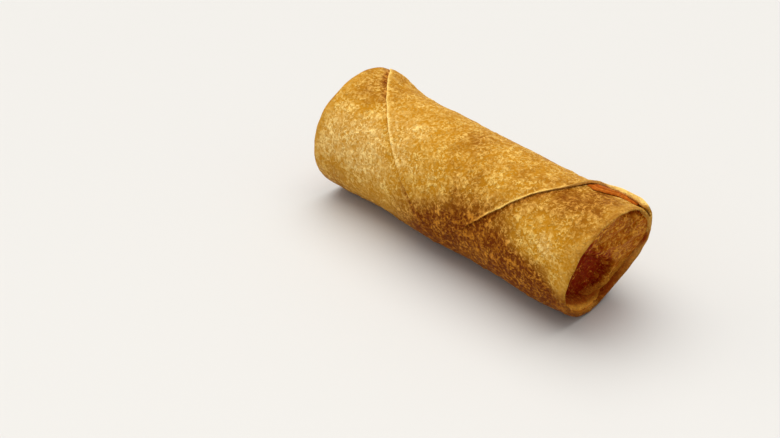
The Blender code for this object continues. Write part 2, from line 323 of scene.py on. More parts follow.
def hump(value, middle, spread):
    """A bell curve: 1 at the middle, fading to 0 on both sides."""
    return np.exp(-0.5 * ((value - middle) / spread) ** 2)


def around(angle, middle):
    """The angle as its nearest turn to the middle, so that a hump closes round the roll."""
    return (angle - middle + 180) % 360 - 180


def cell_numbers(cells, seed):
    """Three even random numbers, 0 to 1, for each whole-number cell: its digits are mixed."""
    mixed = (cells[..., 0] * 73856093) ^ (cells[..., 1] * 19349663) ^ (cells[..., 2] * 83492791)
    mixed = (mixed ^ (seed * 2654435761)) & 0xFFFFFFFF
    numbers = []
    for _ in range(3):
        mixed = ((mixed ^ (mixed >> 15)) * 2246822519 + 374761393) & 0xFFFFFFFF
        mixed = mixed ^ (mixed >> 13)
        numbers.append(mixed / 0xFFFFFFFF)
    return np.stack(numbers, axis=-1)


def on_line(values):
    """Points along a straight line."""
    return np.stack([values, 0 * values, 0 * values], axis=-1)


def on_plane(front, up):
    """Points on a plane."""
    return np.stack([front, up, 0 * front], axis=-1)


def noise(points, size, seed):
    """Gradient noise, about -1 to 1: each cell corner slopes its own way, blended by a quintic."""
    scaled = points / size
    cell = np.floor(scaled).astype(np.int64)
    part = scaled - cell
    blend = part**3 * (part * (part * 6 - 15) + 10)
    total = 0
    for corner in np.ndindex(2, 2, 2):
        slope = cell_numbers(cell + np.array(corner), seed) * 2 - 1
        weight = np.prod(np.where(corner, blend, 1 - blend), axis=-1)
        total = total + weight * np.sum(slope * (part - np.array(corner)), axis=-1)
    return total * 1.6


def bubbles(points, size, seed, share):
    """Round blisters: a cap of height 1, which reaches 0.28 to 0.58 cells, on the random middles of
    a share of all cells."""
    scaled = points / size
    cell = np.floor(scaled).astype(np.int64)
    highest = np.zeros(points.shape[:-1])
    for step in np.ndindex(3, 3, 3):
        other = cell + np.array(step) - 1
        middle = cell_numbers(other, seed)
        kind = cell_numbers(other, seed + 1)
        away = np.sqrt(np.sum((other + middle - scaled) ** 2, axis=-1))
        reach = 0.28 + 0.30 * kind[..., 1]
        cap = smooth(0, 1, 1 - away / reach) * (kind[..., 0] < share)
        highest = np.maximum(highest, cap)
    return highest


def near_rim(angle):
    """Where the near end's rim lies along X: a leaning plane with a dip low at the back."""
    lean = NEAR_RIM_LEAN * (np.cos(np.radians(angle - NEAR_RIM_TOP)) - 1)
    return roll().near_end + lean - NEAR_DIP * hump(around(angle, NEAR_DIP_AT), 0, NEAR_DIP_SPREAD)


def far_rim(angle):
    """Where the far end's rim lies along X: almost square, a little wavy."""
    return roll().far_end + FAR_RIM_WAVE * (1 - np.cos(np.radians(2 * angle + 60)))


def skin(x, angle):
    """The radius of the under layer: a circle plus a flare, a pinch, a waist and sine waves."""
    turn = np.radians(angle)
    top_corner = hump(around(angle, FLARE_AT), 0, FLARE_SPREAD)
    flare = roll().flare * smooth(FLARE_FROM, FLARE_FULL, x) * top_corner
    low_back = hump(around(angle, NEAR_DIP_AT), 0, NEAR_DIP_SPREAD)
    pinch = NEAR_PINCH * smooth(NEAR_PINCH_FROM, roll().near_end, x) * low_back
    wave = 0
    for share, length, turns, phase in LOW_WAVES:
        wave = wave + share * np.sin(x / length + turns * turn + phase)
    crests = np.cos(2 * np.pi * (x - FRONT_WAVE_CREST) / FRONT_WAVE_LENGTH)
    front = FRONT_WAVE * crests * hump(around(angle, FRONT_WAVE_AT), 0, FRONT_WAVE_SPREAD)
    waist = WAIST * hump(x, WAIST_X, WAIST_LENGTH) * hump(around(angle, SLIT_ANGLE), 0, WAIST_SPREAD)
    return roll().radius + flare - pinch - waist + front + LOW_WAVE * wave


def winding(angle):
    """The last turn's climb over its own start: 0 at the front, one sheet at the back."""
    past_tip = (angle - LAST_TURN_FROM) % 360
    last = (SHEET_START - LAST_TURN_FROM) % 360
    slit = (SLIT_ANGLE - LAST_TURN_FROM) % 360
    return roll().sheet * (smooth(0, last, past_tip) - smooth(last, slit - 10, past_tip))


def place(x, angle, radius):
    """Points at these stations, angles and radii round the roll's axis, resting flat on z = 0."""
    turn = np.radians(angle)
    x, turn, radius = np.broadcast_arrays(x, turn, radius)
    z = np.maximum(roll().axis_height + radius * np.cos(turn), 0)
    return np.stack([x, -radius * np.sin(turn), z], axis=-1)


def distance_to_curve(front, up, start, bend, end):
    """How far points of an end lie from a fold line, a curve of three guide points."""
    t = np.linspace(0, 1, 49)[:, None]
    line = (1 - t) ** 2 * np.array(start) + 2 * t * (1 - t) * np.array(bend) + t**2 * np.array(end)
    nearest = np.full(front.shape, np.inf)
    for there_front, there_up in line * MM:
        nearest = np.minimum(nearest, (front - there_front) ** 2 + (up - there_up) ** 2)
    return np.sqrt(nearest)


def rumpled(front, up, seed):
    """The same places shifted a little by noise, and rumples of two sizes."""
    flat = on_plane(front, up)
    shift = [FOLDS_SHIFT * noise(flat, FOLDS_SHIFT_LENGTH, seed + k) for k in range(2)]
    rumples = 0
    for k, (height, length) in enumerate(RUMPLES):
        rumples = rumples + height * noise(flat, length, seed + 2 + k)
    return front + shift[0], up + shift[1], rumples


def folded(front, up, folds):
    """The depth of ridges and creases that are bell-shaped across their fold curves, and how far a
    place is in a crease, 0 to 1."""
    depth = crease = 0
    for height, width, guide in folds:
        across = hump(distance_to_curve(front, up, *guide), 0, width * MM)
        depth = depth + height * MM * across
        crease = np.maximum(crease, across * smooth(*CREASE_HEIGHT, height))
    return depth, crease


def near_floor(front, up):
    """The near hollow: a shallow tilted shelf, a smooth step down to a bowl below a slanting line,
    which ends at a ridge that curves down to the bottom rim, and folds."""
    front, up, rumples = rumpled(front, up, 100)
    step_front, step_up = np.array(NEAR_STEP_LINE).T * MM
    ragged = NEAR_RAGGED * noise(on_plane(front, up), NEAR_RAGGED_LENGTH, 104)
    below = np.interp(front, step_front, step_up) - up + 0.8 * ragged
    ridge_up, ridge_front = np.array(NEAR_RIDGE[::-1]).T * MM
    inward = front - np.interp(up, ridge_up, ridge_front)
    bowl = smooth(-NEAR_STEP_WIDTH, NEAR_STEP_WIDTH, below) * smooth(*NEAR_BOWL_INWARD, inward)
    crest = hump(inward, 0, NEAR_RIDGE_WIDTH) * smooth(0, NEAR_RIDGE_FULL, up)
    folds, crease = folded(front, up, NEAR_FOLDS)
    depth = NEAR_DEPTH + NEAR_TILT[0] * front + NEAR_TILT[1] * up * (1 - bowl)
    depth = depth + NEAR_STEP * bowl - NEAR_RIDGE_HEIGHT * crest + folds + rumples
    # Dark red in the bowl and the creases: browner dough with painted shade
    red = smooth(*NEAR_RED_BELOW, below + 1.3 * ragged) * smooth(*NEAR_RED_INWARD, inward + 0.3 * ragged)
    return depth, np.maximum(red, 0.8 * crease)


def far_floor(front, up):
    """The far hollow: a tilted floor with ridges and creases across its middle."""
    front, up, rumples = rumpled(front, up, 140)
    folds, crease = folded(front, up, FAR_FOLDS)
    depth = FAR_DEPTH + FAR_TILT[0] * front + FAR_TILT[1] * up + folds + rumples
    # Dark red where the floor is deeper and in creases: browner dough with painted shade
    return depth, np.maximum(smooth(*FAR_RED_DEPTH, depth), 0.8 * crease)


def fried_relief(points, seed):
    """Height and raised share of a fried skin. Worm-like ridges are the middle lines of a bent
    noise, cut up by another, blisters are caps on random cells, and wider noises add rumples."""
    bend = np.stack([noise(points, WORM_BEND_SIZE, seed + k) for k in range(3)], axis=-1)
    bent = points + WORM_BEND * bend
    dense = 0.35 + 0.65 * smooth(*DENSE, noise(points, DENSE_SIZE, seed + 3))
    line = 1 - smooth(*WORM_WIDTH, abs(noise(bent, WORM_SIZE, seed + 4)))
    short = smooth(*WORM_CUT, noise(points, WORM_CUT_SIZE, seed + 5))
    worms = line * short * dense
    blisters = bubbles(bent, BLISTER_SIZE, seed + 6, BLISTER_SHARE) * dense
    rumples = 0
    for k, (strength, size) in enumerate(SKIN_RUMPLES):
        rumples = rumples + strength * noise(points, size, seed + 8 + k)
    height = WORM_HEIGHT * worms + blisters + rumples - RELIEF_SUNK
    return roll().blister * height, np.clip(worms + 0.9 * blisters, 0, 1)


def patches(x, angle, spots):
    """The sum of bell-shaped patches on the roll, each by its place, its spreads and strength."""
    total = 0
    for at_x, at_angle, length, turn, strength in spots:
        along = hump(x, at_x * MM, length * MM)
        total = total + strength * along * hump(around(angle, at_angle), 0, turn)
    return total


def toast_and_shade(x, angle, points, seed):
    """How browned the skin is, 0 to 1, with painted shade, and pale patches below the middle."""
    # Painted shade on the lower sides of the near part and towards the near end
    shade = SHADE_LOW_SIDES * smooth(*SHADE_LOW_SIDES_ANGLE, abs(angle)) * smooth(*SHADE_LOW_SIDES_X, x)
    shade = shade + SHADE_NEAR_END * smooth(*SHADE_NEAR_END_X, x) - TOAST_LESS
    browned_and_shaded = BROWNED_AND_SHADE_SHARE * patches(x, angle, BROWNED_AND_SHADE) - PALE_AND_LIGHT_SHARE * patches(x, angle, PALE_AND_LIGHT)
    mottled = 0
    for k, (strength, size) in enumerate(TOAST_NOISES):
        mottled = mottled + strength * noise(points, size, seed + k)
    return np.clip(TOAST_MIDDLE + shade + browned_and_shaded + mottled, 0, 1)


def shadow_beside_flap(x, angle):
    """A share of painted shadow that fades out from the flap's slanting edges, on the skin under it."""
    edge_x, edge_angle = np.array((FAR_FOLD, TIP) + NEAR_EDGE[:-1]).T
    away = BESIDE_PER_DEGREE * (around(angle, 0) - np.interp(x, edge_x * MM, edge_angle))
    return smooth(*BESIDE_STARTS, away) * (1 - smooth(*BESIDE_FADES, away)) * (x < BESIDE_TO_X)


# Meshes

def new_piece(name, verts, faces, crust, material):
    """Makes a smooth mesh piece that rides on the roll's body, stands for its CAD node and has its
    finish. Its crust attribute is raised, edge, toasted and inside, and calm is where it is even. Edge
    also carries painted highlight and painted bounce light, toasted carries painted shade and shadow, and
    inside is partly painted shade."""
    mesh = bpy.data.meshes.new(name)
    mesh.from_pydata(verts, [], faces)
    shares = np.clip(crust, 0, 1).astype(np.float32)
    looks = mesh.color_attributes.new("crust", "FLOAT_COLOR", "POINT")
    looks.data.foreach_set("color", shares[:, :4].ravel())
    calm = mesh.attributes.new("calm", "FLOAT", "POINT")
    calm.data.foreach_set("value", shares[:, 4].copy())
    mesh.polygons.foreach_set("use_smooth", np.ones(len(mesh.polygons), dtype=bool))
    mesh.materials.append(material)
    mesh.validate()
    mesh.update()
    piece = bpy.data.objects.new(name, mesh)
    bpy.context.scene.collection.objects.link(piece)
    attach(piece, BODY)
    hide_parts(NODE)
    return piece


def tube_piece(name, points, crust, first_pole, last_pole, material):
    """A closed tube over a grid of rings, with a single pole point at either end."""
    rings, columns = points.shape[:2]
    index = np.arange(rings * columns).reshape(rings, columns)
    after = np.roll(index, -1, axis=1)
    quads = np.stack([index[:-1], after[:-1], after[1:], index[1:]], axis=-1).reshape(-1, 4)
    poles = np.full(columns, rings * columns), np.full(columns, rings * columns + 1)
    first = np.stack([index[0], poles[0], after[0]], axis=-1)
    last = np.stack([index[-1], after[-1], poles[1]], axis=-1)
    verts = np.concatenate([points.reshape(-1, 3), [first_pole, last_pole]])
    ends = [crust[0].mean(axis=0), crust[-1].mean(axis=0)]
    crust = np.concatenate([crust.reshape(-1, 5), ends])
    faces = quads.tolist() + first.tolist() + last.tolist()
    return new_piece(name, verts, faces, crust, material)


def sheet_piece(name, top, under, crust, material):
    """A closed sheet over two grids of points that share their border."""
    rows, columns = top.shape[:2]
    upper = np.arange(rows * columns).reshape(rows, columns)
    lower = upper.copy()
    lower[1:-1, 1:-1] = rows * columns + np.arange((rows - 2) * (columns - 2)).reshape(rows - 2, -1)
    up = np.stack([upper[:-1, :-1], upper[1:, :-1], upper[1:, 1:], upper[:-1, 1:]], axis=-1)
    down = np.stack([lower[:-1, :-1], lower[:-1, 1:], lower[1:, 1:], lower[1:, :-1]], axis=-1)
    verts = np.concatenate([top.reshape(-1, 3), under[1:-1, 1:-1].reshape(-1, 3)])
    crust = np.concatenate([crust.reshape(-1, 5), crust[1:-1, 1:-1].reshape(-1, 5)])
    faces = np.concatenate([up.reshape(-1, 4), down.reshape(-1, 4)]).tolist()
    return new_piece(name, verts, faces, crust, material)


def lip_drop(angle, near):
    """Half the wall's thickness at the rim: thinner over the near end's top and front."""
    full = roll().wall / 2
    low, from_low, to_high, high = THIN_LIP_AT
    thin = smooth(low, from_low, angle) * (1 - smooth(to_high, high, angle))
    return full - (full - THIN_LIP / 2) * thin * near


def lip_spots(angle, spots):
    """The sum of bell-shaped spots round a lip, each by its angle, its spread and strength."""
    return sum(strength * hump(around(angle, middle), 0, spread) for middle, spread, strength in spots)


def end_rings(angle, rim, inward, near):
    """An end's lip and inner wall, from the skin to a floor behind its tuck. The lip is half an ellipse
    from outside to inside, and the wall leans in a little as it goes deeper. After the rings come their
    shares of inside, which deeper in the wall is painted shade, edge and painted bounce light."""
    outer = skin(rim, angle) + winding(angle)
    drop = lip_drop(angle, near)
    turn = np.radians(np.linspace(0, 180, LIP_RINGS))[:, None]
    lip_x = rim + inward * LIP_IN * (1 - np.sin(turn))
    lip_radius = outer - drop * (1 - np.cos(turn))
    back = np.linspace(LIP_IN, WALL_DEPTH, WALL_RINGS + 1)[1:, None]
    wall_x = rim + inward * back
    wall_radius = outer - 2 * drop - WALL_LEAN * (back - LIP_IN)
    share = np.linspace(1, 0, FLOOR_RINGS + 2)[1:-1, None]
    floor_x = rim.mean() + (wall_x[-1] - rim.mean()) * share + inward * WALL_DEPTH * (1 - share)
    floor_radius = wall_radius[-1] * share
    x = np.concatenate([lip_x, wall_x, floor_x])
    radius = np.concatenate([lip_radius, wall_radius, floor_radius])
    # Deeper in the wall the inside share grows, as painted shade
    deep = np.concatenate([0 * turn, smooth(*WALL_INSIDE, back), np.ones_like(share)])
    inner = np.concatenate([smooth(*LIP_INNER, np.degrees(turn)), np.ones_like(back), 0 * share])
    red = lip_spots(angle, RED_LIP)
    inside = np.maximum(deep, near * inner * red)
    # Painted bounce light: inner lips in shade made lighter and more orange at these spots
    painted_bounce = near * inner * (1 - red) * lip_spots(angle, PAINTED_BOUNCE_LIP)
    edge = np.concatenate([np.ones_like(turn), 1 - smooth(*LIP_FADES, back), 0 * share])
    return x, radius, inside, edge + 0 * angle, painted_bounce


def build_rolled_skin():
    """The roll's skin as one closed tube: far floor, wall and lip, body, near lip, wall and floor."""
    columns = roll().columns
    angle = np.arange(columns) * 360 / columns - 180
    near, far = near_rim(angle), far_rim(angle)
    near_x, near_radius, near_inside, near_edge, near_painted_bounce = end_rings(angle, near, -1, 1)
    far_x, far_radius, far_inside, far_edge, far_painted_bounce = end_rings(angle, far, 1, 0)
    share = np.linspace(0, 1, roll().rings)[1:-1, None]
    body_x = (far + LIP_IN) + (near - far - 2 * LIP_IN) * share
    body_radius = skin(body_x, angle) + winding(angle)
    x = np.concatenate([far_x[::-1], body_x, near_x])
    radius = np.concatenate([far_radius[::-1], body_radius, near_radius])
    none = 0 * share * angle
    inside = np.concatenate([far_inside[::-1], none, near_inside])
    edge = np.concatenate([far_edge[::-1], none, near_edge])
    painted_bounce = np.concatenate([far_painted_bounce[::-1], none, near_painted_bounce])
    to_rim = np.minimum(near - x, x - far)
    band = np.maximum(edge, hump(to_rim, 0, BAND_WIDTH) * (inside < 0.2))
    base = place(x, angle, radius)
    fading = hump(around(angle, BAND_FADES_AT), 0, BAND_FADES_SPREAD)
    band = band * (0.75 + 0.6 * noise(base, 6 * MM, 21)) * (1 - 0.6 * fading)
    height, raised = fried_relief(base, 11)
    uneven = LIP_UNEVEN * noise(base, LIP_UNEVEN_LENGTH, 22) * edge
    relief = height * (1 - 0.6 * band) * np.where(inside > 0.2, -1, 1)
    points = place(x + uneven, angle, radius + relief)
    rim_toast = RIM_TOAST * edge * (1 - smooth(*RIM_TOAST_FADES, abs(angle)))
    # Painted shadow on the skin beside the flap, darker towards the far end
    flap_shadow = (BESIDE_SHADOW + BESIDE_FAR_SHADOW * smooth(*BESIDE_FAR_X, x)) * shadow_beside_flap(x, angle)
    # Painted bounce light on the inner lips makes the skin there lighter and more orange
    toasted_and_shaded = np.maximum(toast_and_shade(x, angle, base, 31) + rim_toast + flap_shadow, 0.9 * painted_bounce)
    crust = np.stack([raised, 0.9 * painted_bounce, toasted_and_shaded, inside, band], axis=-1)
    middle = roll().axis_height
    first = (far.mean() + WALL_DEPTH, 0, middle)
    last = (near.mean() - WALL_DEPTH, 0, middle)
    return tube_piece("rolled_skin", points, crust, first, last, wrapper_finish())


def cut_corners(line):
    """A smoother line through guide points: its corners are cut at quarters, three times."""
    for _ in range(3):
        before, after = line[:-1], line[1:]
        cut = np.stack([0.75 * before + 0.25 * after, 0.25 * before + 0.75 * after], axis=1)
        line = np.vstack([line[:1], cut.reshape(-1, 2), line[-1:]])
    return line


def flap_edge(count):
    """The flap's free edge as X and angle, evenly spaced: slanting out to the tip, back in a smooth
    line through its guide points to the lifted corner, then along the roll to the rim."""
    arc = np.pi / 180 * (roll().radius + roll().sheet)
    far_line = np.linspace(FAR_FOLD, TIP, 2) * (MM, 1)
    near_line = cut_corners(np.array((TIP,) + NEAR_EDGE)) * (MM, 1)
    slit_line = [(SLIT_FROM_X, SLIT_ANGLE), (near_rim(SLIT_ANGLE) - EDGE_INSET, SLIT_ANGLE)]
    line = np.vstack([far_line, near_line[1:], slit_line])
    run = np.append(0, np.cumsum(np.hypot(np.diff(line[:, 0]), np.diff(line[:, 1]) * arc)))
    kept = np.linspace(0, run[-1], count)
    kept[np.argmin(abs(kept - run[1]))] = run[1]
    return np.interp(kept, run, line[:, 0]), np.interp(kept, run, line[:, 1]), kept, run[1]


def corner_lift(x, angle):
    """How far the flap stands off the roll round its near corner."""
    along = smooth(*LIFT_GROWS_X, x) * (1 - LIFT_FADE_X * smooth(*LIFT_FADES_X, x))
    back = smooth(*LIFT_GROWS_ANGLE, angle)
    return roll().flap_lift * along * back * (1 - LIFT_FADE_ANGLE * smooth(*LIFT_FADES_ANGLE, angle))


def follow_rims(x, edge_angle, angle):
    """Slides a station near an end so that it keeps its distance to the slanting rim."""
    near_shift = smooth(*FOLLOW_NEAR, x) * (near_rim(angle) - near_rim(edge_angle))
    far_shift = smooth(*FOLLOW_FAR, x) * (far_rim(angle) - far_rim(edge_angle))
    return x + near_shift + far_shift


def border_distance(points):
    """How far each point of a grid is from the grid's free edge and from its nearer side."""
    down = np.linalg.norm(np.diff(points, axis=0), axis=-1)
    across = np.linalg.norm(np.diff(points, axis=1), axis=-1)
    down = np.concatenate([0 * down[:1], np.cumsum(down, axis=0)])
    across = np.concatenate([0 * across[:, :1], np.cumsum(across, axis=1)], axis=1)
    return down[-1:] - down, np.minimum(across, across[:, -1:] - across)


def build_flap():
    """The outer sheet on a grid of rows round the roll by columns along its free edge. Its border is
    a half-round, its near edge curls up a little, and noise along the free edge frays it."""
    edge_x, edge_angle, run, tip = flap_edge(roll().flap_columns)
    arc = np.pi / 180 * (roll().radius + roll().sheet)
    along = on_line(run)
    fray = EDGE_WAVE * noise(along, EDGE_WAVE_LENGTH, 5) + FRAYED * noise(along, FRAYED_LENGTH, 6)
    ends = smooth(0, EDGE_WAVE_ENDS, run) * smooth(0, EDGE_WAVE_ENDS, run[-1] - run)
    edge_angle = edge_angle + fray * ends / arc
    share = np.linspace(0, 1, roll().flap_rows)
    share = (1 - (1 - share) ** ROWS_CROWDED)[:, None]
    angle = SHEET_START + (edge_angle - SHEET_START) * share
    x = follow_rims(edge_x + 0 * share, edge_angle, angle)
    lift = corner_lift(x, angle)
    start = smooth(SHEET_START, SHEET_START + SHEET_START_LENGTH, angle)
    far_side = 1 - smooth(*FAR_SIDE_ENDS, run - tip)
    pressing = smooth(*PRESSED, angle + FAR_PRESSED * far_side)
    pressed = TIP_PRESSED * pressing
    outer = skin(x, angle) + roll().sheet + lift - pressed - SUNK / 2 * (1 - start)
    thicker = (CORNER_THICKER + RIM_THICKER * smooth(*RIM_THICK_X, x)) * smooth(*CORNER_THICK, lift)
    thickness = roll().sheet + SUNK * (1 - smooth(*LIFT_FREES, lift)) + thicker
    base = place(x, angle, outer)
    to_edge, to_side = border_distance(base)
    curling = smooth(*CURL_FROM_TIP, run - tip) * smooth(*CURL_GROWS_ANGLE, angle)
    curl = CURL * curling * (1 - smooth(0, CURL_REACH, to_edge)) ** 1.5
    round_in = np.clip(np.minimum(to_edge / EDGE_ROUND, to_side / SIDE_ROUND), 0, 1)
    swell = np.sqrt(1 - (1 - round_in) ** 2)
    height, raised = fried_relief(base, 51)
    calm = smooth(0, EDGE_CALM, np.minimum(to_edge, to_side))
    rim_thick = EDGE_THICK + thicker
    body = np.minimum(thickness, rim_thick + 0.5 * to_edge)
    hug = HUG * np.maximum(roll().sheet - pressed - rim_thick, 0) * (1 - smooth(*LIFT_FREES, lift))
    outer = outer - hug * (1 - smooth(0, HUG_REACH, to_edge))
    above = rim_thick * (0.5 + 0.32 * smooth(*CORNER_THICK, lift))
    border = outer + curl - above
    top = place(x, angle, border + above * swell + height * calm)
    under = place(x, angle, border + (above - body) * swell)
    # A pale edge, partly a painted highlight where the free edge and the far seam catch the light; it is
    # taken out of the browning
    edge = hump(to_edge, 0, EDGE_PALE_AND_LIT) * (0.8 + 0.5 * noise(base, 4 * MM, 23)) * (1 - pressing)
    toasted_and_shaded = toast_and_shade(x, angle, base, 71) - 0.2 * edge
    crust = np.stack([raised, edge, toasted_and_shaded, 0 * edge, 0.5 * edge], axis=-1)
    return sheet_piece("flap", top, under, crust, wrapper_finish())


def build_inner_fold():
    """The thin fold between the roll and the flap's lifted corner, on a grid of rows round the
    roll by columns along it."""
    guide_x, guide_angle = cut_corners(np.array(FOLD_EDGE)).T
    edge_x = np.linspace(guide_x[0], guide_x[-1], FOLD_COLUMNS) * MM
    edge_angle = np.interp(edge_x, guide_x * MM, guide_angle)
    edge_angle = edge_angle + FOLD_WAVE * noise(on_line(edge_x), FOLD_WAVE_LENGTH, 8)
    share = np.linspace(0, 1, FOLD_ROWS)[:, None]
    angle = FOLD_START + (edge_angle - FOLD_START) * share
    x = follow_rims(edge_x + 0 * share, edge_angle, angle)
    rise = smooth(*FOLD_RISES_ANGLE, angle) * smooth(*FOLD_RISES_X, x)
    touching = smooth(*FOLD_TOUCHES, share)
    inner = skin(x, angle) - SUNK + (SUNK + FOLD_GAP * (1 - 1.25 * touching)) * rise
    base = place(x, angle, inner + FOLD_THICKNESS)
    to_edge, to_side = border_distance(base)
    round_in = np.clip(np.minimum(to_edge, to_side) / FOLD_ROUND, 0, 1)
    swell = np.sqrt(1 - (1 - round_in) ** 2)
    crease = sum(hump(to_edge, at, FOLD_CREASE_WIDTH) for at in FOLD_CREASES)
    ripple = FOLD_RIPPLE * noise(base, FOLD_RIPPLE_LENGTH, 9) + FOLD_CREASE_HEIGHT * crease
    middle = inner + FOLD_THICKNESS / 2 + ripple
    top = place(x, angle, middle + FOLD_THICKNESS / 2 * swell)
    under = place(x, angle, middle - FOLD_THICKNESS / 2 * swell)
    none = np.zeros_like(swell)
    worn_and_lit = smooth(-0.2, 0.6, noise(base, 3 * MM, 10))
    edge = 0.3 * hump(to_edge, 0, FOLD_WORN) + 0.55 * crease
    crust = np.stack([0.5 * worn_and_lit, edge, none + 0.3 + 0.3 * worn_and_lit, none + 0.25, none], axis=-1)
    return sheet_piece("inner_fold", top, under, crust, fold_finish())


def build_tuck(name, rim_of, inward, near, floor_of, slope, step_in, seed):
    """The folded dough in an end: rings of its floor from the rim, slid under the wall, to the
    middle, and a back face a little deeper. Part of its border slopes up to the rim."""
    columns = roll().tuck_columns
    count = roll().tuck_rings
    angle = np.arange(columns) * 360 / columns - 180
    rim = rim_of(angle)
    outer = skin(rim, angle) + winding(angle) - 1.2 * lip_drop(angle, near)
    share = np.linspace(1, 0, count + 1)[:-1, None]
    radius = outer * share
    turn = np.radians(angle)
    depth, deep = floor_of(radius * np.sin(turn), radius * np.cos(turn))
    sloping = np.maximum(1 - smooth(slope[1], slope[0], angle), smooth(slope[2], slope[3], angle))
    uneven = 1 + SLOPE_UNEVEN * noise(on_line(angle * SLOPE_PER_DEGREE), SLOPE_UNEVEN_LENGTH, seed)
    middle, spread, step = step_in
    level = step * hump(around(angle, middle), 0, spread)
    fall = SLOPE_WIDTH * (0.4 + 0.6 * hump(around(angle, middle), 0, 1.6 * spread))
    on_slope = sloping * (1 - smooth(0, fall, (outer - radius) / uneven - level))
    depth = np.clip(depth + (SLOPE_FROM - depth) * on_slope, HOLLOW_LEAST, HOLLOW_MOST)
    plane = rim.mean() + (rim - rim.mean()) * share
    front_x = plane + inward * depth
    base = place(front_x, angle, radius)
    height, raised = fried_relief(base, seed + 20)
    front_x = front_x - inward * height * (1.3 - 0.7 * on_slope)
    back_share = np.linspace(1, 0, TUCK_BACK_RINGS + 1)[:-1]
    behind = np.interp(back_share, share[::-1, 0], np.arange(count)[::-1]).round().astype(int)
    back_points = place(front_x[behind] + inward * TUCK_BEHIND, angle, radius[behind])
    points = np.concatenate([back_points[::-1], place(front_x, angle, radius)])
    patchy = smooth(0.0, 0.8, noise(base, 6 * MM, seed + 7))
    low = on_slope * hump(around(angle, middle), 0, spread)
    inside = deep * smooth(*SHADED_DEPTH, depth)
    # Painted bounce light: slopes in shade are made lighter, the one at the back also more orange
    painted_bounce = on_slope * smooth(*PAINTED_BOUNCE_SLOPE, angle) * (1 - low)
    edge = 0.10 * on_slope + 0.5 * painted_bounce + 0.45 * low
    toasted_and_shaded = 0.38 + 0.25 * patchy * (1 - on_slope) + 0.4 * painted_bounce
    crust = np.stack([raised, edge, toasted_and_shaded, inside, 0.4 * on_slope], axis=-1)
    crust = np.concatenate([crust[behind][::-1], crust])
    pole_x = front_x[-1].mean()
    front_pole = (pole_x, 0, roll().axis_height)
    back_pole = (pole_x + inward * TUCK_BEHIND, 0, roll().axis_height)
    if inward > 0:
        return tube_piece(name, points[::-1], crust[::-1], front_pole, back_pole, tuck_finish())
    return tube_piece(name, points, crust, back_pole, front_pole, tuck_finish())


# Materials

class Value:
    """A shader socket in an expression: each operator adds the Math node that it stands for."""

    def __init__(self, finish, socket):
        self.finish = finish
        self.socket = socket

    def math(self, operation, first, second):
        """Adds one Math node over two values or numbers."""
        return self.finish.node("ShaderNodeMath", {"operation": operation}, {0: first, 1: second})

    def __add__(self, other):
        return self.math("ADD", self, other)

    def __radd__(self, other):
        return self.math("ADD", other, self)

    def __sub__(self, other):
        return self.math("SUBTRACT", self, other)

    def __rsub__(self, other):
        return self.math("SUBTRACT", other, self)

    def __mul__(self, other):
        return self.math("MULTIPLY", self, other)

    def __rmul__(self, other):
        return self.math("MULTIPLY", other, self)

    def __abs__(self):
        return self.math("ABSOLUTE", self, 0)

    def limit(self, low, high):
        """0 up to low and 1 from high on, with an even curve between them."""
        settings = {"interpolation_type": "SMOOTHSTEP"}
        inputs = {"Value": self, "From Min": low, "From Max": high}
        return self.finish.node("ShaderNodeMapRange", settings, inputs)


class Finish:
    """A node material that is built from expressions."""

    def __init__(self, name):
        self.material = bpy.data.materials.new(name)
        self.material.use_nodes = True
        self.tree = self.material.node_tree
        self.shader = self.tree.nodes["Principled BSDF"]
        self.place = Value(self, self.tree.nodes.new("ShaderNodeTexCoord").outputs["Object"])

    def node(self, kind, settings, inputs, output=0):
        """Adds a node with its settings, then the values or links of its sockets."""
        made = self.tree.nodes.new(kind)
        for name, setting in settings.items():
            setattr(made, name, setting)
        for name, given in inputs.items():
            self.feed(made.inputs[name], given)
        return Value(self, made.outputs[output])

    def feed(self, socket, given):
        """Links a value to a socket, or sets the socket to a plain number or colour."""
        if isinstance(given, Value):
            self.tree.links.new(given.socket, socket)
        else:
            socket.default_value = given

    def spots(self, size, detail, offset, roughness=0.5, distortion=0.0):
        """Noise over the surface, 0 to 1, with its features about this many metres across."""
        inputs = {0: self.place, 1: (offset, offset, offset)}
        moved = self.node("ShaderNodeVectorMath", {"operation": "ADD"}, inputs)
        inputs = {"Vector": moved, "Scale": 1 / size, "Detail": detail}
        inputs |= {"Roughness": roughness, "Distortion": distortion}
        return self.node("ShaderNodeTexNoise", {}, inputs)

    def curls(self, size, distortion, offset):
        """Curled marks, 0 to 1, along the middle lines of a noise."""
        away = abs(self.spots(size, detail=1.0, distortion=distortion, offset=offset) - 0.5)
        return 1 - away.limit(0.03, 0.12)

    def mix(self, factor, first, second):
        """From the first colour to the second."""
        return self.node("ShaderNodeMix", {"data_type": "RGBA"}, {0: factor, 6: first, 7: second}, 2)

    def attribute(self, name, output):
        """A share that the mesh carries."""
        return self.node("ShaderNodeAttribute", {"attribute_name": name}, {}, output)

    def crust(self):
        """The raised, edge, toasted and inside shares that the mesh carries, with painted light in edge
        and painted shade in toasted and inside.
        """
        parts = self.node("ShaderNodeSeparateColor", {}, {0: self.attribute("crust", "Color")})
        split = parts.socket.node.outputs
        return parts, Value(self, split[1]), Value(self, split[2]), self.attribute("crust", "Alpha")

    def set(self, **inputs):
        """Feeds the shader's inputs, each by its name in lower case."""
        for name, given in inputs.items():
            self.feed(self.shader.inputs[name.replace("_", " ").title().replace("Ior", "IOR")], given)


def colour(name):
    """A user's colour with full alpha."""
    return tuple(getattr(bpy.context.scene.spring_roll_colours, name)) + (1.0,)


